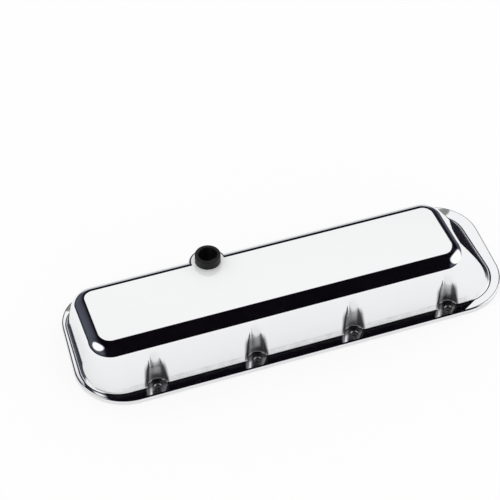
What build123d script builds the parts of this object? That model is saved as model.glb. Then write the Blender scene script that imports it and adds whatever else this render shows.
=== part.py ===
"""Polished cast valve cover of a large V8 engine, with its breather grommet and its oil baffle.

Millimetres. The origin is the middle of the gasket face. +X runs along the engine, +Y goes from the
exhaust rail, which has four bolts, to the intake rail, which has three, and +Z is up.
"""

import os
from math import acos, atan2, pi, sqrt, tan

from build123d import *

# ---- the rail, which is the flange that clamps the gasket
RAIL_WIDTH = 186.0
RAIL_THICKNESS = 6.4  # 1/4 in
RAIL_EDGE_ROUND = 2.0
HALF_WIDTH = RAIL_WIDTH / 2
# its corners before they are rounded, anticlockwise from the exhaust side's left end; once they are
# rounded, the rail is 547.6 mm long, close to 21-5/8 in
RAIL = ((-278.5, -HALF_WIDTH), (266.3, -HALF_WIDTH), (277.3, HALF_WIDTH), (-265.0, HALF_WIDTH))
RAIL_CORNERS = (62.5, 65.0, 57.0, 52.0)

# ---- the body, from the foot of its walls on the rail up to its flat deck, with corners in that order
HEIGHT = 70.0  # deck above the gasket face
WALL = 4.5
SHOULDER = 18.0  # radius between the walls and the deck
FOOT = ((-269.0, -79.4), (255.0, -79.4), (254.0, 74.5), (-261.0, 74.5))
FOOT_CORNERS = (46.0, 48.0, 38.0, 35.0)
FOOT_FILLET = 2.5
DECK = ((-242.0, -51.0), (198.5, -51.0), (200.0, 31.2), (-242.0, 31.2))
DECK_CORNERS = (12.0, 19.0, 15.0, 14.0)

# ---- bolts: one to a bore of the engine on the exhaust rail, and one between each two on the intake rail
BORE_PITCH = 122.94  # 4.84 in
EXHAUST_BOLTS = 4
INTAKE_BOLTS = 3
BOLT_MIDDLE_X = -3.4
BOLT_EDGE = 10.9  # bolt axis to the outer edge of the rail
BOLT_HOLE = 7.1  # clearance for a 1/4 in bolt
BOLT_MOUTH = 9.6  # the hole's bevelled mouth
BOLT_MOUTH_DEPTH = 1.2
POCKET_RADIUS = 13.0  # room round a bolt for its head and a socket
POCKET_EDGE_ROUND = 3.0

# ---- breather: a raised ring of the deck that bulges over the shoulder, and its rubber grommet
BREATHER_X = -87.0
BREATHER_Y = 33.2
BREATHER_HOLE = 27.0
PAD_RADIUS = 23.5
PAD_ROUND = 4.0
PAD_BOTTOM = 40.0  # by here the pad has run out into the sloping wall
SEAT_RADIUS = 21.0  # the thick place under the deck that the grommet grips
SEAT_THICKNESS = 8.0
SEAT_RECESS = 17.5  # radius, room for the grommet's lip beside the wall
SEAT_RECESS_BOTTOM = 50.0
GROMMET_DIAMETER = 31.0
GROMMET_BORE = 22.2  # 7/8 in
GROMMET_STAND = 11.7  # above the deck
GROMMET_ROUND = 1.6
LIP_DIAMETER = 33.0
LIP_THICKNESS = 3.5

# ---- oil baffle under the breather: a pressed tray on four cast posts
BAFFLE_LENGTH = 124.0
BAFFLE_WIDTH = 60.0
BAFFLE_Y = 13.0
BAFFLE_TOP = 46.0  # upper face of the sheet above the gasket face
BAFFLE_SHEET = 1.5
BAFFLE_RIM = 7.0
BAFFLE_BEND = 3.0
POST_PITCH_X = 104.0
POST_PITCH_Y = 46.0
POST_RADIUS = 5.0
SCREW_SHANK = 4.8
SCREW_HOLE = 5.5  # in the sheet
SCREW_DEPTH = 12.0
SCREW_HEAD = 9.0
SCREW_HEAD_HEIGHT = 3.0
SCREW_SLOT = 1.2

OUTWARD = ((-1, -1), (1, -1), (1, 1), (-1, 1))


def outline(corners, radii, level):
    """A quadrilateral face at a level, with each corner rounded by its own radius."""
    face = make_face(Polyline(*corners, close=True).edges())
    for (x, y), radius in zip(corners, radii):
        corner = face.vertices().sort_by_distance((x, y, 0))[0]
        face = fillet(corner, radius)
    return Pos(0, 0, level) * face


def foot_outline(thickness, level):
    """The outline of the body's foot, drawn in by a wall thickness."""
    corners = [(x - sx * thickness, y - sy * thickness) for (x, y), (sx, sy) in zip(FOOT, OUTWARD)]
    return outline(corners, [radius - thickness for radius in FOOT_CORNERS], level)


def lean_in(foot, deck, rise, shoulder):
    """How far in a wall comes by the deck's level with no shoulder, and how much of the deck a
    shoulder arc then takes.

    The wall leans so that it and the arc, tangent to wall and deck, together come in from the
    foot to the edge of the flat deck.
    """
    run = abs(deck - foot)
    straight = rise - shoulder
    lean = acos(shoulder / sqrt(run**2 + straight**2)) - atan2(straight, run)
    return rise * tan(lean), shoulder * tan(pi / 4 - lean / 2)


def body(thickness):
    """The body's form, drawn in by a wall thickness: leaning walls under a rolled shoulder."""
    top = HEIGHT - thickness
    rise = top - RAIL_THICKNESS
    shoulder = SHOULDER - thickness
    crown = []
    radii = []
    for foot, deck, (sx, sy), radius in zip(FOOT, DECK, OUTWARD, DECK_CORNERS):
        foot_x = foot[0] - sx * thickness
        foot_y = foot[1] - sy * thickness
        in_x, cut_x = lean_in(foot_x, deck[0], rise, shoulder)
        in_y, cut_y = lean_in(foot_y, deck[1], rise, shoulder)
        crown.append((foot_x - sx * in_x, foot_y - sy * in_y))
        radii.append(radius + (cut_x + cut_y) / 2)
    form = loft([foot_outline(thickness, RAIL_THICKNESS), outline(crown, radii, top)], ruled=True)
    return fillet(form.faces().sort_by(Axis.Z)[-1].edges(), shoulder)


def bolt_places():
    """The axes of the bolts, first on the exhaust rail and then on the intake rail."""
    exhaust = [
        ((n - (EXHAUST_BOLTS - 1) / 2) * BORE_PITCH + BOLT_MIDDLE_X, BOLT_EDGE - HALF_WIDTH)
        for n in range(EXHAUST_BOLTS)
    ]
    intake = [
        ((n - (INTAKE_BOLTS - 1) / 2) * BORE_PITCH + BOLT_MIDDLE_X, HALF_WIDTH - BOLT_EDGE)
        for n in range(INTAKE_BOLTS)
    ]
    return exhaust + intake


def post_places():
    """The axes of the posts that carry the baffle."""
    return [
        (BREATHER_X + sx * POST_PITCH_X / 2, BAFFLE_Y + sy * POST_PITCH_Y / 2) for sx, sy in OUTWARD
    ]


def upright(x, y, radius, bottom, top):
    """A vertical cylinder between two levels."""
    return Pos(x, y, bottom) * extrude(Circle(radius), top - bottom)


def valve_cover():
    """The casting: rail, body, pockets for the bolts, breather pad, posts and the hollow inside."""
    rail = extrude(outline(RAIL, RAIL_CORNERS, 0), RAIL_THICKNESS)
    rail = fillet(rail.faces().sort_by(Axis.Z)[-1].edges(), RAIL_EDGE_ROUND)
    cover = rail + body(0)
    for x, y in bolt_places():
        cover -= upright(x, y, POCKET_RADIUS, RAIL_THICKNESS, HEIGHT)
    pockets = cover.faces().filter_by(GeomType.CYLINDER).filter_by(
        lambda face: abs(face.radius - POCKET_RADIUS) < 0.01
    )
    cover = fillet(pockets.edges().filter_by(GeomType.BSPLINE), POCKET_EDGE_ROUND)
    rail_top = cover.faces().filter_by_position(Axis.Z, RAIL_THICKNESS, RAIL_THICKNESS)
    foot = rail_top.sort_by(SortBy.AREA)[-1].inner_wires()[0]
    cover = fillet(foot.edges(), FOOT_FILLET)

    pad = upright(BREATHER_X, BREATHER_Y, PAD_RADIUS, PAD_BOTTOM, HEIGHT)
    cover += fillet(pad.faces().sort_by(Axis.Z)[-1].edges(), PAD_ROUND)
    cover -= hollow()
    cover -= upright(BREATHER_X, BREATHER_Y, SEAT_RECESS, SEAT_RECESS_BOTTOM, HEIGHT - SEAT_THICKNESS)
    cover -= upright(BREATHER_X, BREATHER_Y, BREATHER_HOLE / 2, SEAT_RECESS_BOTTOM, HEIGHT)
    for x, y in post_places():
        cover -= upright(x, y, SCREW_SHANK / 2, BAFFLE_TOP, BAFFLE_TOP + SCREW_DEPTH)
    for x, y in bolt_places():
        cover -= upright(x, y, BOLT_HOLE / 2, 0, RAIL_THICKNESS)
        mouth = Cone(BOLT_HOLE / 2, BOLT_MOUTH / 2, BOLT_MOUTH_DEPTH)
        cover -= Pos(x, y, RAIL_THICKNESS - BOLT_MOUTH_DEPTH / 2) * mouth
    return cover


def hollow():
    """The room for the rockers, open at the gasket face, less what stands in it."""
    room = extrude(foot_outline(WALL, 0), RAIL_THICKNESS) + body(WALL)
    for x, y in bolt_places():
        room -= upright(x, y, POCKET_RADIUS + WALL, 0, HEIGHT)
    room -= upright(BREATHER_X, BREATHER_Y, SEAT_RADIUS, HEIGHT - SEAT_THICKNESS, HEIGHT)
    for x, y in post_places():
        room -= upright(x, y, POST_RADIUS, BAFFLE_TOP, HEIGHT)
    return room


def breather_grommet():
    """The rubber bush in the deck: a tall collar, a neck in the hole and a lip under the seat."""
    seat = HEIGHT - SEAT_THICKNESS
    top = HEIGHT + GROMMET_STAND
    bore = GROMMET_BORE / 2
    profile = Polyline(
        (bore, seat - LIP_THICKNESS),
        (BREATHER_HOLE / 2, seat - LIP_THICKNESS),
        (LIP_DIAMETER / 2, seat - LIP_THICKNESS / 3),
        (LIP_DIAMETER / 2, seat),
        (BREATHER_HOLE / 2, seat),
        (BREATHER_HOLE / 2, HEIGHT),
        (GROMMET_DIAMETER / 2, HEIGHT),
        (GROMMET_DIAMETER / 2, top),
        (bore, top),
        close=True,
    )
    half = make_face(Plane.XZ * profile)
    half = fillet(half.vertices().group_by(Axis.Z)[-1], GROMMET_ROUND)
    return Pos(BREATHER_X, BREATHER_Y, 0) * revolve(half, Axis.Z)


def oil_baffle():
    """A pressed sheet under the breather, with its two long sides turned up."""
    side = BAFFLE_WIDTH / 2
    lowest = BAFFLE_TOP - BAFFLE_SHEET
    path = Polyline(
        (-side, BAFFLE_TOP + BAFFLE_RIM),
        (-side, lowest),
        (side, lowest),
        (side, BAFFLE_TOP + BAFFLE_RIM),
        (side - BAFFLE_SHEET, BAFFLE_TOP + BAFFLE_RIM),
        (side - BAFFLE_SHEET, BAFFLE_TOP),
        (BAFFLE_SHEET - side, BAFFLE_TOP),
        (BAFFLE_SHEET - side, BAFFLE_TOP + BAFFLE_RIM),
        close=True,
    )
    profile = make_face(Plane.YZ * path)
    corners = profile.vertices().group_by(Axis.Z)
    profile = fillet(corners[0], BAFFLE_BEND)
    inside = profile.vertices().filter_by_position(Axis.Z, BAFFLE_TOP, BAFFLE_TOP)
    profile = fillet(inside, BAFFLE_BEND - BAFFLE_SHEET)
    sheet = extrude(profile, BAFFLE_LENGTH / 2, both=True)
    sheet = Pos(BREATHER_X, BAFFLE_Y, 0) * sheet
    for x, y in post_places():
        sheet -= upright(x, y, SCREW_HOLE / 2, lowest, BAFFLE_TOP)
    return sheet


def baffle_screw(x, y):
    """A pan-head screw with a slot, up through the baffle into its post."""
    under = BAFFLE_TOP - BAFFLE_SHEET
    head = upright(x, y, SCREW_HEAD / 2, under - SCREW_HEAD_HEIGHT, under)
    head = fillet(head.faces().sort_by(Axis.Z)[0].edges(), SCREW_HEAD_HEIGHT / 3)
    slot = Pos(x, y, under - SCREW_HEAD_HEIGHT) * Box(SCREW_HEAD, SCREW_SLOT, SCREW_HEAD_HEIGHT)
    return head - slot + upright(x, y, SCREW_SHANK / 2, under, BAFFLE_TOP + SCREW_DEPTH)


nodes = {
    "valve_cover": valve_cover(),
    "breather_grommet": breather_grommet(),
    "oil_baffle": oil_baffle(),
}
for number, (post_x, post_y) in enumerate(post_places(), 1):
    nodes[f"baffle_screw_{number}"] = baffle_screw(post_x, post_y)

os.makedirs("parts", exist_ok=True)
for name, solid in nodes.items():
    export_step(solid, f"parts/{name}.step")
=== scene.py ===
"""Looks of a polished cast valve cover: its skin, rubber grommet, oil baffle and screws, on a white table.

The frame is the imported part's: the origin is the middle of the gasket face, +X runs along the engine,
+Y goes from the exhaust rail, which has four bolts, to the intake rail, which has three, and +Z is up.
Shapes are worked out in millimetres and become metres in their meshes.
"""

import logging
import math
from collections.abc import Iterable
from dataclasses import dataclass, field, replace
from enum import Enum
from functools import partial, reduce
from itertools import repeat

import bpy
import numpy as np
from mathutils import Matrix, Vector
from mathutils.geometry import delaunay_2d_cdt


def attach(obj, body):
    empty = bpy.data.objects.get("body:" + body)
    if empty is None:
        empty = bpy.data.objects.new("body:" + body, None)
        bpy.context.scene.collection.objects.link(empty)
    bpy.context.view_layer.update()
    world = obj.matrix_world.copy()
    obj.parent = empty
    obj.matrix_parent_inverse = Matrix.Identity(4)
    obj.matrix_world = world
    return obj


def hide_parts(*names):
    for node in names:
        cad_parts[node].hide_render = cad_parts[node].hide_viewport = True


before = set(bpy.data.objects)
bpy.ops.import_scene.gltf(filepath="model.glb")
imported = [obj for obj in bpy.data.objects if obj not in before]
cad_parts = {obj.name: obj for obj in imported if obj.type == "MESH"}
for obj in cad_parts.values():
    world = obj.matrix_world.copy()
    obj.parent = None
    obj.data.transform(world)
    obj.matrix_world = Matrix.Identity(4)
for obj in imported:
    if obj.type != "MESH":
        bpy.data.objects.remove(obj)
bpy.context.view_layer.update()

MM = 0.001
UP = np.array([0.0, 0.0, 1.0])
SLIVER = 1e-5  # the least share of a side that a column may keep from its end
HALVINGS = 34  # of a pocket's depth, to well under a micrometre
SETTLING = 4  # rounds in which the shoulder's touch on the wall is found
LONG_SIDES = ((-1, 0), (1, 4))  # the sign of each long side's Y, and its part of an outline
BOLT_POINTS, POST_POINTS, BREATHER_POINTS, PAD_POINTS = 48, 32, 72, 144  # how many go round
log = logging.getLogger("valve_cover")

Array = np.ndarray
Socket = bpy.types.NodeSocket
Value = Socket | float
Pair = tuple[float, float]
Triple = tuple[float, float, float]
Colour = Socket | Triple


class Slot(Enum):
    """The names of the record's material slots."""

    CASTING = "polished_aluminium"
    RUBBER = "black_rubber"


class Facing(Enum):
    """Which side of a sheet of faces is outside."""

    OUT = 1
    IN = -1


class Finish(Enum):
    """How a face of the casting was finished, as the number of its material on the piece."""

    POLISHED = 0
    BELTED = 1
    MACHINED = 2
    CAST = 3


# ---------------------------------------------------------------- surfaces


def unit(vectors: Array) -> Array:
    """Scale vectors on the last axis to length 1."""
    return vectors / np.linalg.norm(vectors, axis=-1, keepdims=True)


@dataclass
class Patch:
    """A piece of surface: its points and normals, one row each, and its faces as rows of indices."""

    points: Array
    normals: Array
    faces: Array
    finish: Finish = Finish.POLISHED

    def finished(self, finish: Finish) -> "Patch":
        """Give the same surface another finish."""
        return replace(self, finish=finish)


def grid_patch(points: Array, normals: Array, facing: Facing = Facing.OUT) -> Patch:
    """Make a patch of a grid that closes on itself along its second axis.

    Point (i, j) joins (i, j+1), (i+1, j+1) and (i+1, j), where j+1 wraps round to 0.

    Args:
        points: Rows by columns by 3.
        normals: The same shape.
        facing: OUT where rows rise as columns run anticlockwise round a solid.

    Returns:
        The patch of quads.
    """
    rows, columns = points.shape[:2]
    here = np.arange(rows * columns).reshape(rows, columns)
    east = np.roll(here, -1, axis=1)
    quads = np.stack([here[:-1], east[:-1], east[1:], here[1:]], axis=-1).reshape(-1, 4)
    if facing is Facing.IN:
        quads = quads[:, ::-1]
    return Patch(points.reshape(-1, 3), normals.reshape(-1, 3), quads)


def rays(angles: Array) -> Array:
    """Point unit vectors at angles in a plane: (cos a, sin a)."""
    return np.stack([np.cos(angles), np.sin(angles)], axis=-1)


def clockwise(vectors: Array) -> Array:
    """Turn vectors in a plane a quarter clockwise: (y, -x)."""
    return np.stack([vectors[..., 1], -vectors[..., 0]], axis=-1)


def ring_of(count: int) -> Array:
    """Space unit vectors round a circle: (cos 2 pi j / count, sin 2 pi j / count)."""
    return rays(np.arange(count) * (2 * math.pi / count))


def turned_patch(profile: Array, slopes: Array, centre: Pair, count: int) -> Patch:
    """Turn a profile about an upright axis.

    Point (i, j) is profile point i at angle 2 pi j / count: x = cx + r cos a, y = cy + r sin a, z = z.

    Args:
        profile: Rows of radius and height, ordered so that the solid is on the left of the walk.
        slopes: Rows of the normal's radial and upright parts.
        centre: The axis.
        count: How many points go round.

    Returns:
        The patch.
    """
    ring = ring_of(count)
    points = np.zeros((len(profile), count, 3))
    points[..., :2] = profile[:, None, :1] * ring + np.array(centre)
    points[..., 2] = profile[:, None, 1]
    normals = np.zeros_like(points)
    normals[..., :2] = slopes[:, None, :1] * ring
    normals[..., 2] = slopes[:, None, 1]
    return grid_patch(points, unit(normals))


def lathed(walk: list[Pair], centre: Pair, count: int, finishes: Iterable[Finish]) -> list[Patch]:
    """Turn a walk of straight steps about an upright axis, with a sharp edge between two steps.

    Args:
        walk: Radii and heights, ordered so that the solid is on the left.
        centre: The axis.
        count: How many points go round.
        finishes: One for each step.

    Returns:
        A patch for each step that has a length.
    """
    found = []
    for first, second, finish in zip(walk[:-1], walk[1:], finishes):
        across, up = np.subtract(second, first)
        if np.hypot(across, up) > 1e-6:
            slopes = np.tile([up, -across], (2, 1))
            found.append(turned_patch(np.array([first, second]), slopes, centre, count).finished(finish))
    return found


def starts_of(parts: list[Array]) -> Array:
    """Find where each part starts once they are laid end to end."""
    return np.cumsum([0] + [len(part) for part in parts])[:-1]


def inside(places: Array, starts: Array, ends: Array) -> Array:
    """Tell which places a set of closed loops holds, by counting the edges to the right of each.

    Args:
        places: Rows of x and y.
        starts: The edges' first ends.
        ends: The edges' second ends.

    Returns:
        True where the count is odd.
    """
    x, y = places[:, :1], places[:, 1:]
    spans = (starts[:, 1] > y) != (ends[:, 1] > y)
    rise = np.where(spans, ends[:, 1] - starts[:, 1], 1.0)
    crossing = starts[:, 0] + (y - starts[:, 1]) * (ends[:, 0] - starts[:, 0]) / rise
    return (spans & (crossing > x)).sum(axis=1) % 2 == 1


def flat_patch(loops: list[Array], level: float, facing: Facing) -> Patch:
    """Fill a flat region between an outer loop and the holes in it.

    Args:
        loops: Rows of x and y, the outer loop first.
        level: The region's height.
        facing: OUT looks up and IN looks down.

    Returns:
        The patch of triangles on the loops' own points.
    """
    flat = np.concatenate(loops)
    starts = starts_of(loops)
    after = np.concatenate([np.roll(np.arange(len(loop)), -1) + start for loop, start in zip(loops, starts)])
    edges = np.stack([np.arange(len(flat)), after], axis=-1)
    _, _, cells, origins, _, _ = delaunay_2d_cdt([Vector(p) for p in flat], edges.tolist(), [], 1, 1e-7)
    own = np.array([origin[0] for origin in origins])
    faces = own[np.array(cells)]
    faces = faces[inside(flat[faces].mean(axis=1), flat, flat[after])]
    a, b, c = (flat[faces[:, i]] for i in range(3))
    area = (b[:, 0] - a[:, 0]) * (c[:, 1] - a[:, 1]) - (b[:, 1] - a[:, 1]) * (c[:, 0] - a[:, 0])
    turned = (area > 0) != (facing is Facing.OUT)
    faces[turned] = faces[turned][:, ::-1]
    points = np.column_stack([flat, np.full(len(flat), level)])
    return Patch(points, np.tile(UP * facing.value, (len(flat), 1)), faces)


def piece_from(name: str, patches: list[Patch]) -> bpy.types.Object:
    """Join patches into one piece, welding the points that they share and keeping each patch's normals.

    Args:
        name: The piece's name.
        patches: In millimetres.

    Returns:
        The piece, linked to the scene, in metres.
    """
    starts = starts_of([patch.points for patch in patches])
    points = np.concatenate([patch.points for patch in patches])
    normals = np.concatenate([patch.normals for patch in patches])
    keys, first, shared = np.unique(np.round(points, 4), axis=0, return_index=True, return_inverse=True)
    corners = [(patch.faces + start).ravel() for patch, start in zip(patches, starts)]
    sizes = np.concatenate([np.full(len(patch.faces), patch.faces.shape[1]) for patch in patches])
    loops = np.concatenate(corners)
    mesh = bpy.data.meshes.new(name)
    mesh.vertices.add(len(first))
    mesh.vertices.foreach_set("co", (points[first] * MM).astype(np.float32).ravel())
    mesh.loops.add(len(loops))
    mesh.loops.foreach_set("vertex_index", shared.ravel()[loops].astype(np.int32))
    mesh.polygons.add(len(sizes))
    mesh.polygons.foreach_set("loop_start", np.concatenate([[0], np.cumsum(sizes)[:-1]]).astype(np.int32))
    mesh.polygons.foreach_set("use_smooth", np.ones(len(sizes), bool))
    finishes = [np.full(len(patch.faces), patch.finish.value) for patch in patches]
    mesh.polygons.foreach_set("material_index", np.concatenate(finishes).astype(np.int32))
    mesh.update(calc_edges=True)
    mesh.normals_split_custom_set(normals[loops].astype(np.float32).tolist())
    piece = bpy.data.objects.new(name, mesh)
    bpy.context.scene.collection.objects.link(piece)
    return piece


# ---------------------------------------------------------------- the casting's forms


@dataclass(frozen=True)
class RoundedQuad:
    """Four corners, anticlockwise from the near left, each rounded by its own radius."""

    corners: Array
    radii: Array

    def walk(self, part: Array, share: Array) -> tuple[Array, Array]:
        """Go round the outline.

        Parts 0, 2, 4 and 6 are the near, right, far and left sides, and 1, 3, 5 and 7 are the arcs
        that follow them. A side's outward normal is the unit vector between its corners, turned a
        quarter clockwise, and an arc's centre lies a radius inside both its sides.

        Args:
            part: Which part each sample is on.
            share: How far along that part it is, from 0 to 1.

        Returns:
            The samples' places, and their derivatives by share, as rows of x and y.
        """
        out = clockwise(unit(np.roll(self.corners, -1, axis=0) - self.corners))
        before = np.roll(out, 1, axis=0)
        cosine = np.sum(before * out, axis=-1, keepdims=True)
        centres = self.corners - self.radii[:, None] * (before + out) / (1 + cosine)
        side = part // 2
        after = (side + 1) % 4
        start = centres[side] + self.radii[side, None] * out[side]
        end = centres[after] + self.radii[after, None] * out[side]
        straight = start + (end - start) * share[:, None]
        first = np.arctan2(out[side, 1], out[side, 0])
        turn = np.mod(np.arctan2(out[after, 1], out[after, 0]) - first, 2 * math.pi)
        ray = rays(first + turn * share)
        round_ = centres[after] + self.radii[after, None] * ray
        spin = -clockwise(ray) * (self.radii[after] * turn)[:, None]
        on_arc = (part % 2 == 1)[:, None]
        return np.where(on_arc, round_, straight), np.where(on_arc, spin, end - start)


@dataclass
class Rail:
    """The flange that clamps the gasket, with a hole at each bolt."""

    width: float = 186.0
    thickness: float = 6.4
    edge_round: float = 2.0
    corners: tuple = ((-278.5, -93.0), (266.3, -93.0), (277.3, 93.0), (-265.0, 93.0))
    radii: tuple[float, ...] = (62.5, 65.0, 57.0, 52.0)
    bolt_edge: float = 10.9
    bore_pitch: float = 122.94
    middle: float = -3.4
    hole: float = 7.1
    mouth: float = 9.6
    mouth_depth: float = 1.2
    corner_columns: int = 72
    edge_rows: int = 9

    @property
    def bolt_line(self) -> float:
        """Give the distance of the bolts from the middle line."""
        return self.width / 2 - self.bolt_edge

    def outline(self) -> RoundedQuad:
        """Give the rail's outline, seen from above."""
        return RoundedQuad(np.array(self.corners), np.array(self.radii))

    def bolts(self, side: int) -> Array:
        """Place the bolts of one side, four on the near one (-1) and three on the far one (1).

        Args:
            side: The sign of the side's Y.

        Returns:
            Rows of x and y.
        """
        count = 4 if side < 0 else 3
        across = (np.arange(count) - (count - 1) / 2) * self.bore_pitch + self.middle
        return np.column_stack([across, np.full(count, side * self.bolt_line)])

    def every_bolt(self) -> Array:
        """Place the bolts of both sides."""
        return np.concatenate([self.bolts(-1), self.bolts(1)])

    def nearest(self, x: Array, side: int) -> Array:
        """Measure along X to the nearest bolt of one side."""
        return np.abs(x[..., None] - self.bolts(side)[:, 0]).min(axis=-1)

    def edge(self) -> Array:
        """Work out the rail's edge.

        A quarter round is carried round the outline: at angle b it is drawn in by r(1 - cos b) and
        stands r sin b over the straight part of the edge.

        Returns:
            A grid of points and normals, rows by columns by 6.
        """
        counts = np.tile([2, self.corner_columns], 4)
        part = np.repeat(np.arange(8), counts)
        share = np.concatenate([np.arange(count) / count for count in counts])
        place, along = self.outline().walk(part, share)
        out = unit(clockwise(along))
        bend = np.concatenate([[0.0], np.linspace(0.0, math.pi / 2, self.edge_rows)])
        inset = self.edge_round * (1 - np.cos(bend))
        height = self.thickness - self.edge_round * (1 - np.sin(bend))
        height[0] = 0.0
        grid = np.zeros((len(bend), len(part), 6))
        grid[..., :2] = place - inset[:, None, None] * out
        grid[..., 2] = height[:, None]
        grid[..., 3:5] = np.cos(bend)[:, None, None] * out
        grid[..., 5] = np.sin(bend)[:, None]
        return grid

    def holes(self, radius: float) -> list[Array]:
        """Draw a circle of a radius round each bolt, as rows of x and y."""
        return [radius * ring_of(BOLT_POINTS) + centre for centre in self.every_bolt()]

    def bores(self) -> list[Patch]:
        """Line each hole: a bevelled mouth over a plain bore.

        Returns:
            The bevels and bores.
        """
        deep = self.thickness - self.mouth_depth
        walk = [(self.mouth / 2, self.thickness), (self.hole / 2, deep), (self.hole / 2, 0.0)]
        centres = [tuple(centre) for centre in self.every_bolt()]
        return sum([lathed(walk, centre, BOLT_POINTS, repeat(Finish.MACHINED)) for centre in centres], [])


@dataclass
class Body:
    """The casting's body, drawn in by a wall thickness: leaning walls under a rolled shoulder."""

    rail: Rail
    wall: float = 0.0
    height: float = 70.0
    full_shoulder: float = 18.0
    foot_fillet: float = 1.6
    flare: float = 0.8
    flare_height: float = 7.0
    pocket: float = 13.0
    pocket_round: float = 3.0
    deepest: float = 16.0
    pocket_margin: float = 2.5
    side_columns: int = 45
    pocket_columns: int = 93
    right_columns: int = 90
    end_columns: int = 24
    corner_columns: int = 44
    fillet_rows: int = 9
    wall_rows: int = 83
    shoulder_rows: int = 30
    room_rows: tuple[int, int] = (26, 14)
    foot: tuple = ((-269.0, -79.4), (255.0, -79.4), (254.0, 74.5), (-261.0, 74.5))
    foot_radii: tuple = (46.0, 48.0, 38.0, 35.0)
    deck: tuple = ((-242.0, -51.0), (198.5, -51.0), (200.0, 31.2), (-242.0, 31.2))
    deck_radii: tuple = (12.0, 19.0, 15.0, 14.0)
    steady: dict[int, Pair] = field(
        default_factory=lambda: {-1: (-205.0, 160.0), 1: (-150.0, 140.0)}
    )

    def __post_init__(self) -> None:
        """Work out the outlines of the foot and of the crown, which is where the walls would reach
        the deck's level with no shoulder.

        A wall comes in by run = straight tan l + shoulder cos l + shoulder sin l tan l, from which
        its lean l = acos(shoulder / sqrt(run^2 + straight^2)) - atan2(straight, run).
        """
        self.top = self.height - self.wall
        self.rise = self.top - self.rail.thickness
        self.shoulder = self.full_shoulder - self.wall
        outward = np.array([(-1, -1), (1, -1), (1, 1), (-1, 1)])
        foot = np.array(self.foot) - outward * self.wall
        run = np.abs(np.array(self.deck) - foot)
        straight = self.rise - self.shoulder
        lean = np.arccos(self.shoulder / np.hypot(run, straight)) - np.arctan2(straight, run)
        crown = foot - outward * self.rise * np.tan(lean)
        cut = self.shoulder * np.tan(math.pi / 4 - lean / 2)
        self.feet = RoundedQuad(foot, np.array(self.foot_radii) - self.wall)
        self.crown = RoundedQuad(crown, np.array(self.deck_radii) + cut.mean(axis=1))
        self.lean = {-1: lean[0, 1], 1: lean[2, 1]}
        self.deck_edge = {-1: abs(self.deck[0][1]), 1: abs(self.deck[2][1])}
        self.columns()

    def columns(self) -> None:
        """Choose the grid's columns: close together at the pockets and corners, far apart between."""
        starts, ends = (self.feet.walk(np.arange(0, 8, 2), np.full(4, end))[0] for end in (0.0, 1.0))
        shares = []
        for side in range(4):
            if side % 2:
                found = np.arange(self.end_columns) / self.end_columns
            else:
                sign = side - 1
                low, high = sorted((starts[side, 0], ends[side, 0]))
                across = [np.linspace(low, high, self.side_columns)]
                reach = self.pocket + self.pocket_round + self.pocket_margin
                about = np.linspace(-reach, reach, self.pocket_columns)
                across += [x + about for x in self.rail.bolts(sign)[:, 0]]
                if sign < 0:
                    across.append(np.linspace(self.steady[-1][1], high, self.right_columns))
                every = np.unique(np.round(np.clip(np.concatenate(across), low, high), 3))
                found = (every - low) / (high - low)
                found = found if sign < 0 else np.sort(1 - found)
                found = found[found < 1 - SLIVER]
            shares += [found, np.arange(self.corner_columns) / self.corner_columns]
        self.share = np.concatenate(shares)
        self.part = np.repeat(np.arange(8), [len(found) for found in shares])
        self.foot_place, self.foot_along = self.feet.walk(self.part, self.share)
        self.crown_place, self.crown_along = self.crown.walk(self.part, self.share)

    def wall_at(self, height: Array) -> tuple[Array, Array]:
        """Find the leaning walls at each column's height.

        The wall is ruled: its point is the foot's plus a share of the way to the crown's, and its
        normal is square to the outline's direction there and to the ruling.

        Args:
            height: One for each column, or rows of them.

        Returns:
            Points and unit normals.
        """
        up = np.clip((height - self.rail.thickness) / self.rise, 0.0, 1.0)[..., None]
        place = self.foot_place + (self.crown_place - self.foot_place) * up
        place = self.steadied(place)
        along = self.foot_along + (self.crown_along - self.foot_along) * up
        slant = np.broadcast_to(self.crown_place - self.foot_place, along.shape)
        flat = slant[..., 1] * along[..., 0] - slant[..., 0] * along[..., 1]
        normal = np.stack([along[..., 1] * self.rise, -along[..., 0] * self.rise, flat], axis=-1)
        point = np.concatenate([place, np.broadcast_to(height, place.shape[:-1])[..., None]], axis=-1)
        return point, unit(normal)

    def steadied(self, place: Array) -> Array:
        """Stand the columns of the near and far walls upright between two marks.

        The walls there are planes, so a column may move along X: between the marks it keeps the foot's
        x, and beyond a mark its distance from it is scaled to the side's own end at that height.

        Args:
            place: Rows of x and y.

        Returns:
            The same with x moved.
        """
        moved = place.copy()
        for sign, part in LONG_SIDES:
            on = self.part == part
            foot = self.foot_place[on, 0]
            first = place[..., on, 0][..., :1]
            last = place[..., np.flatnonzero(self.part == part + 1)[:1], 0]
            low, high = (first, last) if sign < 0 else (last, first)
            ends = np.array([self.foot_place[on][0, 0], self.foot_place[self.part == part + 1][0, 0]])
            left, right = self.steady[sign]
            below = left + (foot - left) * (low - left) / (ends.min() - left)
            above = right + (foot - right) * (high - right) / (ends.max() - right)
            moved[..., on, 0] = np.where(foot < left, below, np.where(foot > right, above, foot))
        return moved

    def tangent(self) -> tuple[Array, Array, Array]:
        """Find where the shoulder's rolling ball touches the wall.

        The ball's middle is a radius under the deck and a radius inside the wall, so the touch is at
        height top - r + r sin e, where e is the normal's elevation there.

        Returns:
            The touching points, the normals there and the ball's middles.
        """
        height = np.full(len(self.part), self.top - self.shoulder)
        for _ in range(SETTLING):
            point, normal = self.wall_at(height)
            height = self.top - self.shoulder + self.shoulder * normal[:, 2]
        point, normal = self.wall_at(height)
        return point, normal, point - self.shoulder * normal

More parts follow.
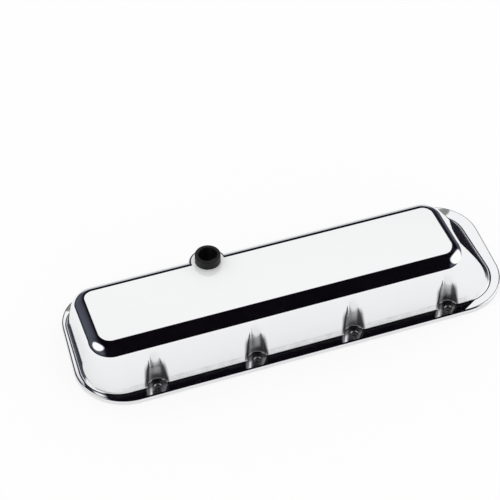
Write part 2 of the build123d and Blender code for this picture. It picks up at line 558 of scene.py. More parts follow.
    def shoulder_grid(self, rows: int) -> tuple[Array, Array]:
        """Roll the shoulder: middle + r (h cos e, sin e), as e goes from the wall's elevation to 90.

        Args:
            rows: How many steps of e, both ends counted.

        Returns:
            Points and normals, rows by columns by 3.
        """
        _, normal, middle = self.tangent()
        out = unit(normal[:, :2])
        first = np.arcsin(normal[:, 2])
        angle = first + (math.pi / 2 - first) * np.linspace(0.0, 1.0, rows)[:, None]
        normals = np.concatenate([out * np.cos(angle)[..., None], np.sin(angle)[..., None]], axis=-1)
        return middle + self.shoulder * normals, normals

    def depth(self, x: Array, y: Array, z: Array, sign: int) -> Array:
        """Measure how far points lie outside one long side, pockets cut and their edges rounded.

        With a the distance from the wall or shoulder, b the distance into a pocket, r the edge's
        radius and g the angle between their normals, the rounded edge is where
        sqrt((a+r)^2 + (b+r)^2 - 2 (a+r)(b+r) cos g) / sin g = r, and elsewhere the greater of a and b
        counts.

        Args:
            x: Along the side.
            y: Outward from the middle line.
            z: Up.
            sign: The sign of the side's Y.

        Returns:
            The distances, positive outside.
        """
        across, up = y - self.deck_edge[sign], z - (self.top - self.shoulder)
        lean = self.lean[sign]
        angle = np.arctan2(up, across)
        flat = across * math.cos(lean) + up * math.sin(lean) - self.shoulder
        a = np.where(angle > lean, np.hypot(np.maximum(across, 0), up) - self.shoulder, flat)
        gap = self.rail.bolt_line - y
        far = np.maximum(np.hypot(self.rail.nearest(x, sign), gap), 1e-6)
        b = self.pocket - far
        cosine = np.cos(np.maximum(angle, lean)) * gap / far
        a_in, b_in = a + self.pocket_round, b + self.pocket_round
        square = a_in**2 + b_in**2 - 2 * a_in * b_in * cosine
        corner = np.sqrt(np.maximum(square, 0) / np.maximum(1 - cosine**2, 1e-9)) - self.pocket_round
        in_corner = (a_in > b_in * cosine) & (b_in > a_in * cosine)
        return np.where(in_corner, corner, np.maximum(a, b))

    def slide(
        self, points: Array, normals: Array, target: Array, sign: int
    ) -> tuple[Array, Array]:
        """Move the points near a pocket along Y until their depth is a target, by halving.

        Args:
            points: On the side with no pockets.
            normals: The side's normals there.
            target: The depth wanted for each.
            sign: The sign of the side's Y.

        Returns:
            The points, and their normals, which are the depth's unit gradients where a point moves.
        """
        x, z = points[..., 0], points[..., 2]
        high = sign * points[..., 1] + 1e-4
        low = high - self.deepest
        for _ in range(HALVINGS):
            middle = (low + high) / 2
            outside = self.depth(x, middle, z, sign) > target
            high = np.where(outside, middle, high)
            low = np.where(outside, low, middle)
        y = (low + high) / 2
        moved = np.stack([x, sign * y, z], axis=-1)
        tiny = 0.02
        slope = [
            turn * (self.depth(x + a, y + b, z + c, sign) - self.depth(x - a, y - b, z - c, sign))
            for turn, (a, b, c) in zip((1, sign, 1), np.eye(3) * tiny)
        ]
        gap = np.hypot(self.rail.nearest(x, sign), self.rail.bolt_line - sign * points[..., 1])
        near = (gap < self.pocket + self.pocket_round + 10 * tiny)[..., None]
        return np.where(near, moved, points), np.where(near, unit(np.stack(slope, axis=-1)), normals)

    def skin(self) -> tuple[Array, Array]:
        """Work out the outside from the foot's fillet up to the deck's edge.

        The fillet is a hollow quarter round of radius r: at angle g it stands r(1 - sin g) over the
        rail and r(1 - cos g) out from the wall. Above it come the wall and the shoulder.

        Returns:
            Points and normals, rows by columns by 3.
        """
        bend = np.linspace(math.pi / 2, 0.0, self.fillet_rows)
        rise = self.foot_fillet * (1 - np.sin(bend))
        out = self.foot_fillet * (1 - np.cos(bend))
        touch, _, _ = self.tangent()
        low, low_normal = self.wall_at(self.rail.thickness + rise[:, None] + 0 * self.share)
        flat = low_normal.copy()
        flat[..., 2] = 0.0
        low += flat / (1 - low_normal[..., 2:] ** 2) * out[:, None, None]
        share = np.linspace(0.0, 1.0, self.wall_rows + 1)[1:, None]
        first = self.rail.thickness + self.foot_fillet
        high, high_normal = self.wall_at(first + (touch[:, 2] - first) * share)
        crown, crown_normal = self.shoulder_grid(self.shoulder_rows)
        points = np.concatenate([low, high, crown[1:]])
        normals = np.concatenate([low_normal, high_normal, crown_normal[1:]])
        target = np.zeros(points.shape[:2])
        target[: len(out)] = out[:, None]
        for sign, part in LONG_SIDES:
            on = self.part == part
            points[:, on], normals[:, on] = self.slide(points[:, on], normals[:, on], target[:, on], sign)
        points, normals = self.flared(points, normals)
        tilt = bend[:, None, None]
        normals[: len(out)] = unit(normals[: len(out)] * np.cos(tilt) + UP * np.sin(tilt))
        return points, normals

    def flared(self, points: Array, normals: Array) -> tuple[Array, Array]:
        """Let the wall's last few millimetres run out toward the rail.

        At a share s of the flare's height over the rail, the wall stands k (1 - s)^2 further out, and
        its slope grows by 2 k (1 - s) / height, where k is the flare at the rail.

        Args:
            points: The skin's, rows by columns by 3.
            normals: The wall's there.

        Returns:
            The same with the lowest rows moved and leant.
        """
        left = np.clip(1 - (points[..., 2:] - self.rail.thickness) / self.flare_height, 0.0, 1.0)
        flat = normals * [1.0, 1.0, 0.0]
        size = np.maximum(np.linalg.norm(flat, axis=-1, keepdims=True), 1e-9)
        steeper = 2 * self.flare / self.flare_height * left * size
        return points + flat / size * self.flare * left**2, unit(normals + UP * steeper)

    def room(self) -> Array:
        """Work out the hollow's wall, from the gasket face up to its own deck's edge.

        On the long sides it stands clear of each bolt's pocket by the wall: it lies no further out
        than the bolt's y less sqrt(R^2 - dx^2), where R is the pocket's radius and the wall together.

        Returns:
            Points, rows by columns by 3.
        """
        touch, _, _ = self.tangent()
        foot, _ = self.wall_at(np.zeros((1, len(self.part))))
        share = np.linspace(0.0, 1.0, self.room_rows[0])[:, None]
        high, _ = self.wall_at(self.rail.thickness + (touch[:, 2] - self.rail.thickness) * share)
        crown, _ = self.shoulder_grid(self.room_rows[1])
        points = np.concatenate([foot, high, crown[1:]])
        for sign, part in LONG_SIDES:
            on = self.part == part
            x, y = points[:, on, 0], sign * points[:, on, 1]
            near, reach = self.rail.nearest(x, sign), self.pocket + self.wall
            clear = self.rail.bolt_line - np.sqrt(np.maximum(reach**2 - near**2, 0))
            points[:, on, 1] = sign * np.where(near < reach, np.minimum(y, clear), y)
        return points


def cross_normals(points: Array, facing: Facing) -> Array:
    """Find a grid's normals as the cross product of its central differences along columns and rows.

    Args:
        points: Rows by columns by 3, closed on itself along the columns.
        facing: Which side is outside.

    Returns:
        The unit normals, in the same shape.
    """
    along = np.roll(points, -1, axis=1) - np.roll(points, 1, axis=1)
    rising = np.gradient(points, axis=0)
    return unit(np.cross(along, rising) + 1e-12) * facing.value


@dataclass
class Breather:
    """The raised ring of the deck, the thick seat under it and the posts of the oil baffle."""

    x: float = -87.0
    y: float = 33.2
    hole: float = 27.0
    pad: float = 23.5
    pad_round: float = 4.0
    pad_bottom: float = 40.0
    seat: float = 21.0
    seat_level: float = 62.0
    post_pitch: Pair = (104.0, 46.0)
    post_y: float = 13.0
    post: float = 5.0
    post_hole: float = 2.4
    post_level: float = 46.0

    def pad_side(self, top: float) -> Patch:
        """Carry the pad's side round the half that stands out of the shoulder.

        Its upper edge is a quarter round: at angle b the radius is R - r(1 - cos b) and the height is
        top - r(1 - sin b).

        Args:
            top: The deck's height.

        Returns:
            The patch, open where the deck covers it.
        """
        bend = np.concatenate([[0.0], np.linspace(0.0, math.pi / 2, 13)])
        radius = self.pad - self.pad_round * (1 - np.cos(bend))
        level = top - self.pad_round * (1 - np.sin(bend))
        level[0] = self.pad_bottom
        return turned_patch(np.stack([radius, level], axis=-1), rays(bend), (self.x, self.y), PAD_POINTS)

    def deck_loop(self, edge: Array) -> Array:
        """Add the pad's flat top to the outline of the deck.

        Args:
            edge: The deck's outline as rows of x and y, with the pad's bulge across its far side.

        Returns:
            The outline with the points under the pad replaced by the arc of its flat top.
        """
        radius = self.pad - self.pad_round
        arc = radius * ring_of(PAD_POINTS) + [self.x, self.y]
        beyond = edge[:, 1].max()
        arc = arc[arc[:, 1] > beyond + 1e-6]
        arc = arc[np.argsort(-arc[:, 0])]
        under = (edge[:, 1] > beyond - 0.01) & (np.hypot(*(edge - [self.x, self.y]).T) < radius)
        first = int(np.flatnonzero(under)[0])
        return np.concatenate([edge[:first], arc, edge[first + under.sum() :]])

    def lining(self, top: float) -> list[Patch]:
        """Line the grommet's hole and the seat under it, which is a thick disc of metal.

        Args:
            top: The deck's height.

        Returns:
            The hole's wall, and the seat's underside and edge.
        """
        hole = self.hole / 2
        walk = [(hole, top), (hole, self.seat_level), (self.seat, self.seat_level), (self.seat, top - 2.0)]
        finishes = (Finish.MACHINED, Finish.MACHINED, Finish.CAST)
        return lathed(walk, (self.x, self.y), BREATHER_POINTS, finishes)

    def posts(self, top: float) -> list[Patch]:
        """Stand the four posts down from the inside of the deck, each with its screw's hole.

        Args:
            top: The deck's height.

        Returns:
            Each post's end and side.
        """
        walk = [(self.post_hole, self.post_level), (self.post, self.post_level), (self.post, top - 4.0)]
        corners = np.array([(-0.5, -0.5), (-0.5, 0.5), (0.5, -0.5), (0.5, 0.5)]) * self.post_pitch
        centres = corners + [self.x, self.post_y]
        return sum([lathed(walk, tuple(centre), POST_POINTS, repeat(Finish.CAST)) for centre in centres], [])


@dataclass
class Casting:
    """The polished casting, as one closed skin that stands for the CAD node."""

    rail: Rail = field(default_factory=Rail)
    breather: Breather = field(default_factory=Breather)
    wall: float = 4.5

    def build(self) -> bpy.types.Object:
        """Work out every face of the casting and join them.

        Returns:
            The piece.
        """
        outside = Body(self.rail)
        inside = Body(self.rail, wall=self.wall)
        edge = self.rail.edge()
        skin, slopes = outside.skin()
        room = inside.room()
        thick = self.rail.thickness
        mouths = self.rail.holes(self.rail.mouth / 2)
        bores = self.rail.holes(self.rail.hole / 2)
        ring = self.breather.hole / 2 * ring_of(BREATHER_POINTS) + [self.breather.x, self.breather.y]
        deck = self.breather.deck_loop(skin[-1, :, :2])
        patches = [
            grid_patch(edge[..., :3], edge[..., 3:]),
            flat_patch([edge[-1, :, :2], skin[0, :, :2], *mouths], thick, Facing.OUT),
            grid_patch(skin, slopes),
            flat_patch([deck, ring], outside.top, Facing.OUT).finished(Finish.BELTED),
            self.breather.pad_side(outside.top),
            grid_patch(room, cross_normals(room, Facing.IN), Facing.IN).finished(Finish.CAST),
            flat_patch([room[-1, :, :2]], inside.top, Facing.IN).finished(Finish.CAST),
            flat_patch([edge[0, :, :2], room[0, :, :2], *bores], 0.0, Facing.IN).finished(Finish.MACHINED),
            *self.rail.bores(),
            *self.breather.lining(outside.top),
            *self.breather.posts(outside.top),
        ]
        return piece_from("casting_skin", patches)

    def dress(self) -> bpy.types.Object:
        """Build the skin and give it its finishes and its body.

        Returns:
            The piece.
        """
        piece = self.build()
        for finish in (PolishedAluminium(self.rail), BELTED, MachinedAluminium(), AS_CAST):
            piece.data.materials.append(finish.material())
        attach(piece, "root")
        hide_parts("valve_cover")
        return piece


@dataclass
class Grommet:
    """The rubber bush in the deck: a tall collar, a neck in the hole and a lip under the seat."""

    breather: Breather = field(default_factory=Breather)
    bore: float = 22.2
    collar: float = 31.0
    lip: float = 33.0
    deck: float = 70.0
    stand: float = 11.7
    lip_height: float = 3.5
    edge: float = 1.6
    count: int = 160

    def profile(self) -> Array:
        """Walk round the section: out along the lip, up the collar, over its edges and down the bore.

        Returns:
            Rows of radius and height.
        """
        top, bore, collar = self.deck + self.stand, self.bore / 2, self.collar / 2
        neck, seat, lip = self.breather.hole / 2, self.breather.seat_level, self.lip / 2
        foot = seat - self.lip_height
        bend = np.linspace(0.0, math.pi / 2, 12)
        over = rays(bend) * self.edge
        back = -clockwise(over)
        return np.concatenate(
            [
                [[bore, foot], [neck, foot], [lip, seat - self.lip_height / 3], [lip, seat], [neck, seat]],
                [[neck, self.deck], [collar - 0.5, self.deck], [collar, self.deck + 0.5]],
                over + [collar - self.edge, top - self.edge],
                back + [bore + self.edge, top - self.edge],
                [[bore, self.deck], [bore, foot]],
            ]
        )

    def dress(self) -> bpy.types.Object:
        """Turn the section about the bore's axis and put the rubber on it.

        Returns:
            The piece.
        """
        centre = (self.breather.x, self.breather.y)
        patches = lathed(self.profile(), centre, self.count, repeat(Finish.POLISHED))
        piece = piece_from("grommet_rubber", patches)
        piece.data.materials.append(Rubber().material())
        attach(piece, "root")
        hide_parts("breather_grommet")
        return piece


# ---------------------------------------------------------------- finishes


class Wiring:
    """A small helper that adds and links the nodes of one node tree."""

    def __init__(self, tree: bpy.types.NodeTree) -> None:
        """Start with an empty tree."""
        self.tree = tree
        tree.nodes.clear()

    def add(self, kind: str, **settings: object) -> bpy.types.Node:
        """Add a node.

        Args:
            kind: The node's type name.
            settings: Properties of the node, or sockets or values for its inputs, named with
                underscores for spaces, where it has no such property.

        Returns:
            The new node.
        """
        node = self.tree.nodes.new(kind)
        for name, value in settings.items():
            if hasattr(node, name):
                setattr(node, name, value)
            else:
                self.put(value, node.inputs[name.replace("_", " ")])
        return node

    def put(self, value: Value | tuple, target: Socket) -> None:
        """Link an output to an input, or set the input to a plain value.

        Args:
            value: A socket, a number or a tuple of numbers.
            target: The input.
        """
        if isinstance(value, Socket):
            self.tree.links.new(value, target)
        else:
            target.default_value = value

    def math(self, operation: str, *values: Value) -> Socket:
        """Work out one step of arithmetic.

        Args:
            operation: The Math node's operation.
            values: Sockets or numbers.

        Returns:
            The result's socket.
        """
        node = self.add("ShaderNodeMath", operation=operation)
        for value, target in zip(values, node.inputs):
            self.put(value, target)
        return node.outputs[0]

    def fold(self, operation: str, *values: Value) -> Socket:
        """Join several values in turn by the same step."""
        return reduce(lambda found, value: self.math(operation, found, value), values)

    def most(self, *values: Value) -> Socket:
        """Take the greatest of several values."""
        return self.fold("MAXIMUM", *values)

    def times(self, *values: Value) -> Socket:
        """Multiply several values."""
        return self.fold("MULTIPLY", *values)

    def rest(self, value: Value) -> Socket:
        """Take a value from 1."""
        return self.math("SUBTRACT", 1.0, value)

    def capped(self, value: Value, gain: float) -> Socket:
        """Multiply a value, but keep it under 1."""
        return self.math("MINIMUM", self.times(value, gain), 1.0)

    def spread(
        self, value: Socket, old: Pair, new: Pair, kind: str = "LINEAR"
    ) -> Socket:
        """Map one range onto another, held at its ends.

        Args:
            value: What is mapped.
            old: Its range.
            new: The result's range.
            kind: The Map Range node's interpolation.

        Returns:
            The result's socket.
        """
        ends = dict(zip(("From_Min", "From_Max", "To_Min", "To_Max"), (*old, *new)))
        return self.add("ShaderNodeMapRange", interpolation_type=kind, Value=value, **ends).outputs["Result"]

    def step(self, value: Socket, low: float, high: float) -> Socket:
        """Rise smoothly from 0 at low to 1 at high, or fall where high is the lesser."""
        return self.spread(value, (low, high), (0.0, 1.0), "SMOOTHSTEP")

    def blend(self, share: Socket, first: Colour, second: Colour) -> Socket:
        """Mix two colours by a share.

        Args:
            share: How much of the second shows.
            first: A socket, or a plain red, green and blue.
            second: The same.

        Returns:
            The mixed colour.
        """
        first, second = (end if isinstance(end, Socket) else (*end, 1.0) for end in (first, second))
        node = self.add("ShaderNodeMix", data_type="RGBA", Factor=share, A=first, B=second)
        return node.outputs["Result"]

    def shade(self, share: Value, first: Socket, second: Socket) -> Socket:
        """Mix two shaders.

        Args:
            share: How much of the second shows.
            first: A shader's socket.
            second: Another's.

        Returns:
            The mixed shader.
        """
        node = self.add("ShaderNodeMixShader")
        for value, target in zip((share, first, second), node.inputs):
            self.put(value, target)
        return node.outputs[0]


class Coat:
    """One new material: its nodes, its shader, and the place on the piece that its patterns read."""

    def __init__(self, name: str, metallic: float, roughness: float) -> None:
        """Make the material with a Principled shader.

        Args:
            name: The material's name.
            metallic: The shader's own value.
            roughness: The shader's own value.
        """
        self.made = bpy.data.materials.new(name)
        self.made.use_nodes = True
        self.wiring = Wiring(self.made.node_tree)
        self.shader = self.wiring.add("ShaderNodeBsdfPrincipled", Metallic=metallic, Roughness=roughness)
        self.wiring.add("ShaderNodeOutputMaterial", Surface=self.shader.outputs[0])
        self.where = self.wiring.add("ShaderNodeTexCoord").outputs["Object"]
        self.x, self.y, self.z = self.wiring.add("ShaderNodeSeparateXYZ", Vector=self.where).outputs

    def noise(
        self, scale: float, detail: float = 3.0, stretch: Triple = (1.0, 1.0, 1.0)
    ) -> Socket:
        """Lay a noise over the piece.

        Args:
            scale: Its cells to a metre.
            detail: How many finer layers it has.
            stretch: How the place is scaled first, one number for each axis.

        Returns:
            Its value, about 0.3 to 0.7.
        """
        place = self.wiring.add("ShaderNodeMapping", Vector=self.where, Scale=stretch).outputs[0]
        return self.wiring.add("ShaderNodeTexNoise", Vector=place, Scale=scale, Detail=detail).outputs["Fac"]

    def cells(self, scale: float) -> Socket:
        """Break the surface into flat crystals and give each one a value of its own."""
        found = self.wiring.add("ShaderNodeTexVoronoi", Vector=self.where, Scale=scale).outputs["Color"]
        return self.wiring.add("ShaderNodeSeparateColor", Color=found).outputs[0]

    def height(self, low: float, high: float) -> Socket:
        """Rise smoothly from 0 at one height to 1 at another, in millimetres."""
        return self.wiring.step(self.z, low * MM, high * MM)

    def drive(self, **inputs: Value) -> None:
        """Link the shader's inputs, named with underscores for spaces."""
        for name, value in inputs.items():
            self.wiring.put(value, self.shader.inputs[name.replace("_", " ")])

    def emboss(self, height: Socket, depth: float) -> None:
        """Raise a relief of a full depth in metres where the height is 1."""
        bump = self.wiring.add("ShaderNodeBump", Height=height, Distance=depth, Strength=1.0)
        self.drive(Normal=bump.outputs[0])


@dataclass(frozen=True)
class PolishedAluminium:
    """Buffed cast aluminium: a mirror on the shoulder, walls and rail, where a wheel rolls over them,
    and satin where it does not reach, in the pockets and the corner over the rail.

    Roughness rises from the mirror's by the satin's. Painted shade darkens the pockets' sides, their lower
    part and their floor over the rail: such a place takes that share of a near-black shade colour, and the
    seam is the line at the wall's foot, which scatters light.
    """

    rail: Rail
    high: Triple = (0.915, 0.92, 0.93)
    low: Triple = (0.885, 0.89, 0.905)
    # The near-black colour of the painted shade in the pockets.
    shade_colour: Triple = (0.13, 0.125, 0.13)
    mirror: float = 0.04
    satin: float = 0.34
    corner_satin: float = 0.1
    seam_scatter: float = 0.85
    pocket_shade: float = 0.92
    pocket_floor_shade: float = 0.85

    def pockets(self, coat: Coat) -> tuple[Socket, Socket]:
        """Rise to 1 inside the bolt pockets.

        The distance to the nearest bolt's axis is sqrt(w^2 + (|y| - b)^2), where b is the bolts' |y|
        and w is x less a bolt's, wrapped to half a pitch either way.

        Args:
            coat: The material.

        Returns:
            The mask, and |w|.
        """
        wiring, half, near = coat.wiring, self.rail.bore_pitch * MM / 2, []
        for side in (-1, 1):
            bolt = self.rail.bolts(side)[0] * MM
            along = wiring.math("WRAP", wiring.math("SUBTRACT", coat.x, float(bolt[0])), half, -half)
            across = wiring.math("SUBTRACT", coat.y, float(bolt[1]))
            square = wiring.math("ADD", wiring.times(along, along), wiring.times(across, across))
            near.append(wiring.step(wiring.math("SQRT", square), 16.5 * MM, 12.8 * MM))
            if side < 0:
                aside = wiring.math("ABSOLUTE", along)
        return wiring.most(*near), aside

    def material(self) -> bpy.types.Material:
        """Build the finish.

        Returns:
            A metal whose roughness, tint and share of scattered light follow where it was buffed.
        """
        coat = Coat("polished_aluminium", 1.0, self.mirror)
        wiring, times, most = coat.wiring, coat.wiring.times, coat.wiring.most
        around, aside = self.pockets(coat)
        over_rail = coat.height(8.0, 8.6)
        pockets = times(around, over_rail)
        corner = times(coat.height(18.0, 12.0), over_rail)
        rough = most(times(corner, self.corner_satin), times(pockets, coat.height(52.0, 20.0), self.satin))
        rough = wiring.math("ADD", rough, self.mirror)
        uneven = wiring.spread(coat.noise(90.0, 4.0), (0.3, 0.7), (0.75, 1.35))
        seam = times(coat.height(7.1, 7.3), coat.height(8.4, 7.9))
        coat.drive(Roughness=times(rough, uneven), Metallic=wiring.rest(times(seam, self.seam_scatter)))
        # Painted shade: the pockets' sides and lower part, and their floor over the rail, darken toward the
        # near-black colour.
        sides = times(wiring.step(aside, 5.5 * MM, 8.5 * MM), coat.height(41.0, 28.0))
        dim = times(most(sides, times(coat.height(17.0, 9.0), 0.5)), pockets, self.pocket_shade)
        floor = times(around, wiring.step(wiring.math("ABSOLUTE", coat.y), 84.0 * MM, 79.0 * MM))
        dim = most(dim, times(floor, coat.height(8.2, 8.05), self.pocket_floor_shade))
        bright = wiring.blend(coat.noise(14.0, 2.0), self.low, self.high)
        coat.drive(Base_Color=wiring.blend(dim, bright, self.shade_colour))
        coat.emboss(coat.noise(22.0, 1.0), 0.00008)
        return coat.made


@dataclass(frozen=True)
class MachinedAluminium:
    """Cut metal: the milled gasket face, and bores painted near black as painted shade."""

    face: Triple = (0.7, 0.705, 0.715)
    # The bore colour is painted shade.
    bore: Triple = (0.05, 0.05, 0.055)

    def material(self) -> bpy.types.Material:
        """Build a metal with crossing cutter marks, and painted shade, near black, on the bores over the
        gasket face's level.

        Returns:
            The material.
        """
        coat = Coat("machined_aluminium", 1.0, 0.35)
        wiring = coat.wiring
        # Painted shade: the bores' walls take the near-black bore colour.
        bore_shade = wiring.times(coat.height(0.02, 0.2), coat.height(6.2, 5.4))
        coat.drive(Base_Color=wiring.blend(bore_shade, self.face, self.bore))
        rings = wiring.add(
            "ShaderNodeTexWave",
            wave_type="RINGS",
            rings_direction="Z",
            Vector=coat.where,
            Scale=260.0,
            Distortion=0.6,
        )
        coat.drive(Roughness=wiring.spread(coat.noise(300.0), (0.3, 0.7), (0.28, 0.45)))
        coat.emboss(rings.outputs["Fac"], 0.00002)
        return coat.made


@dataclass(frozen=True)
class Grained:
    """A finish that one pattern tints, from dark to light, and another dulls and raises."""

    name: str
    metallic: float
    dark: Triple
    light: Triple
    rough: Pair
    tint: tuple = ()
    grain: tuple = ()
    relief: float = 0.0
    contrast: Pair = (0.35, 0.65)
    crystals: float = 0.0

    def material(self) -> bpy.types.Material:
        """Build the finish.

        The tint and the grain are what Coat.noise takes. With no grain the tint's pattern serves for
        both, and with crystals, to the metre, their flat values do.

        Returns:
            The material.
        """
        coat = Coat(self.name, self.metallic, sum(self.rough) / 2)
        wiring = coat.wiring
        tint = coat.cells(self.crystals) if self.crystals else coat.noise(*self.tint)
        gloss = coat.noise(*self.grain) if self.grain and not self.crystals else tint
        ends = (0.0, 1.0) if self.crystals else (0.3, 0.7)
        share = wiring.spread(tint, self.contrast, (0.0, 1.0))
        coat.drive(
            Base_Color=wiring.blend(share, self.dark, self.light),
            Roughness=wiring.spread(gloss, ends, self.rough),
        )
        if self.relief:
            coat.emboss(coat.noise(*self.grain), self.relief)
        return coat.made


# The flat deck was brought level with a fine belt that ran lengthwise, and only lightly buffed.
BELTED = Grained(
    "belted_aluminium",
    metallic=0.12,
    dark=(0.915, 0.92, 0.925),
    light=(0.94, 0.945, 0.95),
    rough=(0.11, 0.17),
    tint=(1.0, 3.0, (6.0, 1500.0, 1.0)),
    contrast=(0.0, 1.0),
)
# The hollow is as it came from the mould: grey, dull and sandy, with cloudy patches.
AS_CAST = Grained(
    "cast_aluminium",
    metallic=0.75,
    dark=(0.40, 0.40, 0.405),
    light=(0.58, 0.585, 0.59),
    rough=(0.45, 0.68),
    tint=(45.0, 4.0),
    grain=(900.0, 4.0),
    relief=0.0006,
)
# The oil baffle's sheet is zinc-coated, with the flat crystals that the zinc sets in.
SHEET = Grained(
    "sheet_steel",
    metallic=1.0,
    dark=(0.46, 0.47, 0.49),
    light=(0.66, 0.67, 0.68),
    rough=(0.3, 0.46),
    grain=(500.0,),
    relief=0.00005,
    contrast=(0.0, 1.0),
    crystals=170.0,
)
# The screws' plating is a little yellow, and rubbed brighter where a driver has turned them.
SCREW = Grained(
    "screw_steel",
    metallic=1.0,
    dark=(0.5, 0.47, 0.38),
    light=(0.72, 0.7, 0.62),
    rough=(0.38, 0.22),
    tint=(420.0, 4.0),
)


@dataclass(frozen=True)
class Rubber:
    """Moulded black rubber: near black on its sides, and painted lighter grey in noisy patches round the
    top, as painted light from above.
    """

    side: Triple = (0.0045, 0.0042, 0.0048)
    # The top colour is painted light on the collar's top.
    top: Triple = (0.02, 0.019, 0.021)
    level: float = 81.7
    lit_band: float = 1.2

    def material(self) -> bpy.types.Material:
        """Build the rubber, with a fine grain.

        Returns:
            The material.
        """
        coat = Coat("black_rubber", 0.0, 0.5)
        wiring = coat.wiring
        # Painted light: the collar's top band is lightened toward the top colour, in noisy patches.
        painted_light = wiring.times(coat.height(self.level - self.lit_band, self.level), coat.noise(160.0, 4.0))
        grain = coat.noise(1400.0)
        coat.drive(Specular_IOR_Level=0.3, Roughness=wiring.spread(grain, (0.3, 0.7), (0.38, 0.6)))
        coat.drive(Base_Color=wiring.blend(wiring.capped(painted_light, 2.0), self.side, self.top))
        coat.emboss(grain, 0.00005)
        return coat.made


# ---------------------------------------------------------------- studio


class Surroundings:
    """What a mirror sees round the table, by direction: a dark room with a few lit panels."""

    levels: tuple[float, ...] = (0.98, 0.62, 0.09, 0.11, 1.15, 0.85)  # in level's order
    dark: float = 0.003

    def __init__(self, wiring: Wiring, azimuth: float) -> None:
        """Set up the angles that the panels are given in.

        The pitch runs from the near horizon at 0 over the top at 90 to the far horizon at 180, the
        lean is the angle out of that arc to the right, and the rise is the height over the horizon.

        Args:
            wiring: The world's nodes.
            azimuth: The way from the camera to the cover, in degrees anticlockwise from +Y.
        """
        self.wiring = wiring
        self.where = wiring.add("ShaderNodeTexCoord").outputs["Generated"]
        turn = math.radians(azimuth)
        near = self.along((math.sin(turn), -math.cos(turn), 0.0))
        up = self.along((0.0, 0.0, 1.0))
        self.pitch = wiring.math("ARCTAN2", up, near)
        self.lean = wiring.math("ARCSINE", self.along((math.cos(turn), math.sin(turn), 0.0)))
        self.rise = wiring.math("ARCSINE", up)

    def along(self, axis: Triple) -> Socket:
        """Find a direction's part along an axis.

        Args:
            axis: A unit vector.

        Returns:
            The cosine of the angle between them.
        """
        dot = self.wiring.add("ShaderNodeVectorMath", operation="DOT_PRODUCT", Vector=self.where)
        dot.inputs[1].default_value = axis
        return dot.outputs["Value"]

    def from_to(self, value: Socket, low: float, high: float) -> Socket:
        """Rise smoothly from 0 to 1 between two angles in degrees, or fall where high is the lesser."""
        return self.wiring.step(value, math.radians(low), math.radians(high))

    def lamp(self, azimuth: float, height: float, inner: float, outer: float) -> Socket:
        """Light a round lamp.

        Args:
            azimuth: Its middle's, in degrees clockwise from +Y.
            height: Its middle's, over the horizon.
            inner: The angle from its middle out to which it is full.
            outer: The angle at which it has faded.

        Returns:
            1 on the lamp and 0 off it.
        """
        turned, raised = math.radians(azimuth), math.radians(height)
        flat = math.cos(raised)
        middle = self.along((math.sin(turned) * flat, math.cos(turned) * flat, math.sin(raised)))
        return self.wiring.step(middle, math.cos(math.radians(outer)), math.cos(math.radians(inner)))

    def level(self) -> Socket:
        """Add up the panels over the room's dark.

        Returns:
            How bright a mirror sees each direction.
        """
        wiring, times, rest = self.wiring, self.wiring.times, self.wiring.rest
        pitch, lean, rise = (partial(self.from_to, angle) for angle in (self.pitch, self.lean, self.rise))
        window = times(pitch(129.5, 131.0), pitch(138.5, 137.0), lean(-11.0, -9.5), lean(12.5, 11.0))
        right = times(lean(8.0, 22.0), pitch(115.0, 140.0))
        sides = wiring.most(lean(-12.0, -34.0), right, lean(38.0, 55.0))
        ring = times(rise(22.0, 13.0), pitch(100.0, 165.0), rest(sides))
        slate = times(rise(1.0, 14.0), rise(75.0, 22.0), sides, rest(right))
        shade = times(rise(32.0, 8.0), right)
        lamps = wiring.math("ADD", self.lamp(-88.0, 42.0, 17.0, 27.0), self.lamp(103.0, 26.0, 24.0, 33.0))
        lit = (window, ring, slate, shade, lamps, rise(0.0, -2.0))
        found = wiring.most(*(times(panel, level) for panel, level in zip(lit, self.levels)))
        return wiring.math("ADD", found, self.dark)


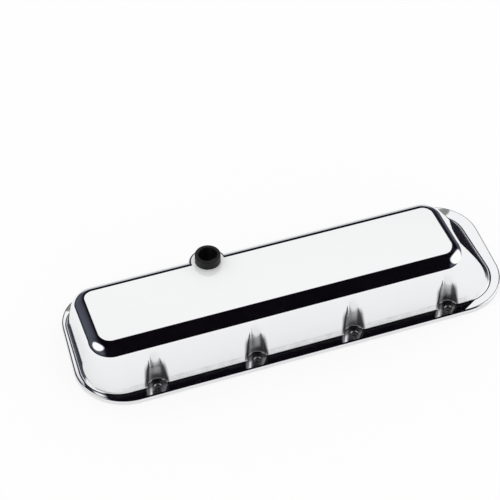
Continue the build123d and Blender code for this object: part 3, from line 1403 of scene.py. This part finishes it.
@dataclass
class Studio:
    """The white table, the light round it and the camera."""

    azimuth: float = -19.7185
    elevation: float = 44.8798
    focal: float = 115.88
    place: Triple = (-0.4961, -1.25765, 1.4356)
    table_half: float = 6.0
    table_gap: float = 0.2
    seen_glow: float = 0.8
    mirrored_glow: float = 0.35
    shaded: Pair = (206.0, 84.0)
    hollow: Pair = (248.0, 68.0)
    hollow_round: float = 38.0
    dark: Triple = (0.9, 0.65, 1.2)
    dim: Triple = (0.86, 0.93, 1.25)

    def camera(self) -> None:
        """Stand the camera where the whole cover is seen from its exhaust side's left end."""
        data = bpy.data.cameras.new("camera")
        data.sensor_width = 36.0
        data.lens = self.focal
        camera = bpy.data.objects.new("camera", data)
        camera.location = self.place
        camera.rotation_euler = (math.radians(90 - self.elevation), 0.0, math.radians(self.azimuth))
        bpy.context.scene.collection.objects.link(camera)
        bpy.context.scene.camera = camera

    def table(self) -> None:
        """Lay the white table top that the cover stands on."""
        half = self.table_half
        mesh = bpy.data.meshes.new("table")
        corners = [(-half, -half, 0.0), (half, -half, 0.0), (half, half, 0.0), (-half, half, 0.0)]
        mesh.from_pydata(corners, [], [(0, 1, 2, 3)])
        floor = bpy.data.objects.new("table", mesh)
        floor.location.z = -self.table_gap * MM
        bpy.context.scene.collection.objects.link(floor)
        mesh.materials.append(self.table_top())

    def table_top(self) -> bpy.types.Material:
        """Build the table's white, which keeps a faint shadow, and which is clear from below.

        The camera sees the table's paint near black under the cover, a painted shadow seen through its
        holes, and every other ray passes the table inside the hollow's outline, so that light reaches the
        hollow.

        Returns:
            The material.
        """
        made = bpy.data.materials.new("table_white")
        made.use_nodes = True
        wiring = Wiring(made.node_tree)
        path = wiring.add("ShaderNodeLightPath").outputs
        camera = path["Is Camera Ray"]
        seen = wiring.times(wiring.most(camera, path["Is Transmission Ray"]), self.seen_glow)
        glow = wiring.most(seen, wiring.times(path["Is Glossy Ray"], self.mirrored_glow))
        where = wiring.add("ShaderNodeTexCoord").outputs["Object"]
        parts = wiring.add("ShaderNodeSeparateXYZ", Vector=where)
        # Painted shadow: under the cover the camera sees the table's paint near black, with no glow.
        lit = wiring.rest(wiring.times(self.patch(wiring, parts, self.shaded, 0.0), camera))
        shadowed_paint = wiring.blend(lit, (0.01, 0.01, 0.01), (0.96, 0.96, 0.96))
        paint = wiring.add("ShaderNodeBsdfDiffuse", Color=shadowed_paint).outputs[0]
        white = wiring.add("ShaderNodeEmission", Color=(1.0, 1.0, 1.0, 1.0), Strength=1.0).outputs[0]
        top = wiring.shade(wiring.times(glow, lit), paint, white)
        below = wiring.add("ShaderNodeNewGeometry").outputs["Backfacing"]
        inside = wiring.times(self.patch(wiring, parts, self.hollow, self.hollow_round), wiring.rest(camera))
        clear = wiring.add("ShaderNodeBsdfTransparent").outputs[0]
        wiring.add("ShaderNodeOutputMaterial", Surface=wiring.shade(wiring.most(below, inside), top, clear))
        return made

    @staticmethod
    def patch(
        wiring: Wiring, parts: bpy.types.Node, half: Pair, radius: float
    ) -> Socket:
        """Mark a round-cornered patch of the table about its middle.

        A place is in it where sqrt(max(|x| - a + r, 0)^2 + max(|y| - b + r, 0)^2) is under r.

        Args:
            wiring: The table's nodes.
            parts: The node that gives x and y.
            half: The patch's half length and half width, a and b, in millimetres.
            radius: Its corners' radius r.

        Returns:
            1 in the patch and 0 round it.
        """
        squares = []
        for place, reach in zip(parts.outputs, half):
            over = wiring.math("SUBTRACT", wiring.math("ABSOLUTE", place), (reach - radius) * MM)
            over = wiring.most(over, 0.0)
            squares.append(wiring.times(over, over))
        reach = wiring.math("SQRT", wiring.math("ADD", *squares))
        return wiring.step(reach, (radius + 1.0) * MM, radius * MM)

    def light(self) -> None:
        """Light the table with an even white sky, and show mirrors the room."""
        world = bpy.data.worlds.new("studio")
        bpy.context.scene.world = world
        world.use_nodes = True
        wiring = Wiring(world.node_tree)
        mirrored = wiring.add("ShaderNodeLightPath").outputs["Is Glossy Ray"]
        room = wiring.times(Surroundings(wiring, self.azimuth).level(), mirrored)
        level = wiring.math("ADD", room, wiring.rest(mirrored))
        tint = wiring.blend(wiring.capped(level, 20.0), self.dark, self.dim)
        tint = wiring.blend(wiring.capped(level, 1.5), tint, (1.0, 1.0, 1.0))
        back = wiring.add("ShaderNodeBackground", Color=tint, Strength=level)
        wiring.add("ShaderNodeOutputWorld", Surface=back.outputs[0])


def main() -> None:
    """Build and dress every piece in order, and report each one."""
    bpy.context.scene.view_settings.view_transform = "Standard"
    for made in (Casting().dress(), Grommet().dress()):
        log.info("built %s with %d faces", made.name, len(made.data.polygons))
    sheet, screw = SHEET.material(), SCREW.material()
    for name in ("oil_baffle", *(f"baffle_screw_{number}" for number in range(1, 5))):
        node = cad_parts[name]
        node.data.materials.clear()
        node.data.materials.append(sheet if name == "oil_baffle" else screw)
        log.info("dressed %s", name)
    studio = Studio()
    studio.table()
    studio.light()
    studio.camera()


if __name__ == "__main__":
    logging.basicConfig(level=logging.INFO)
    main()
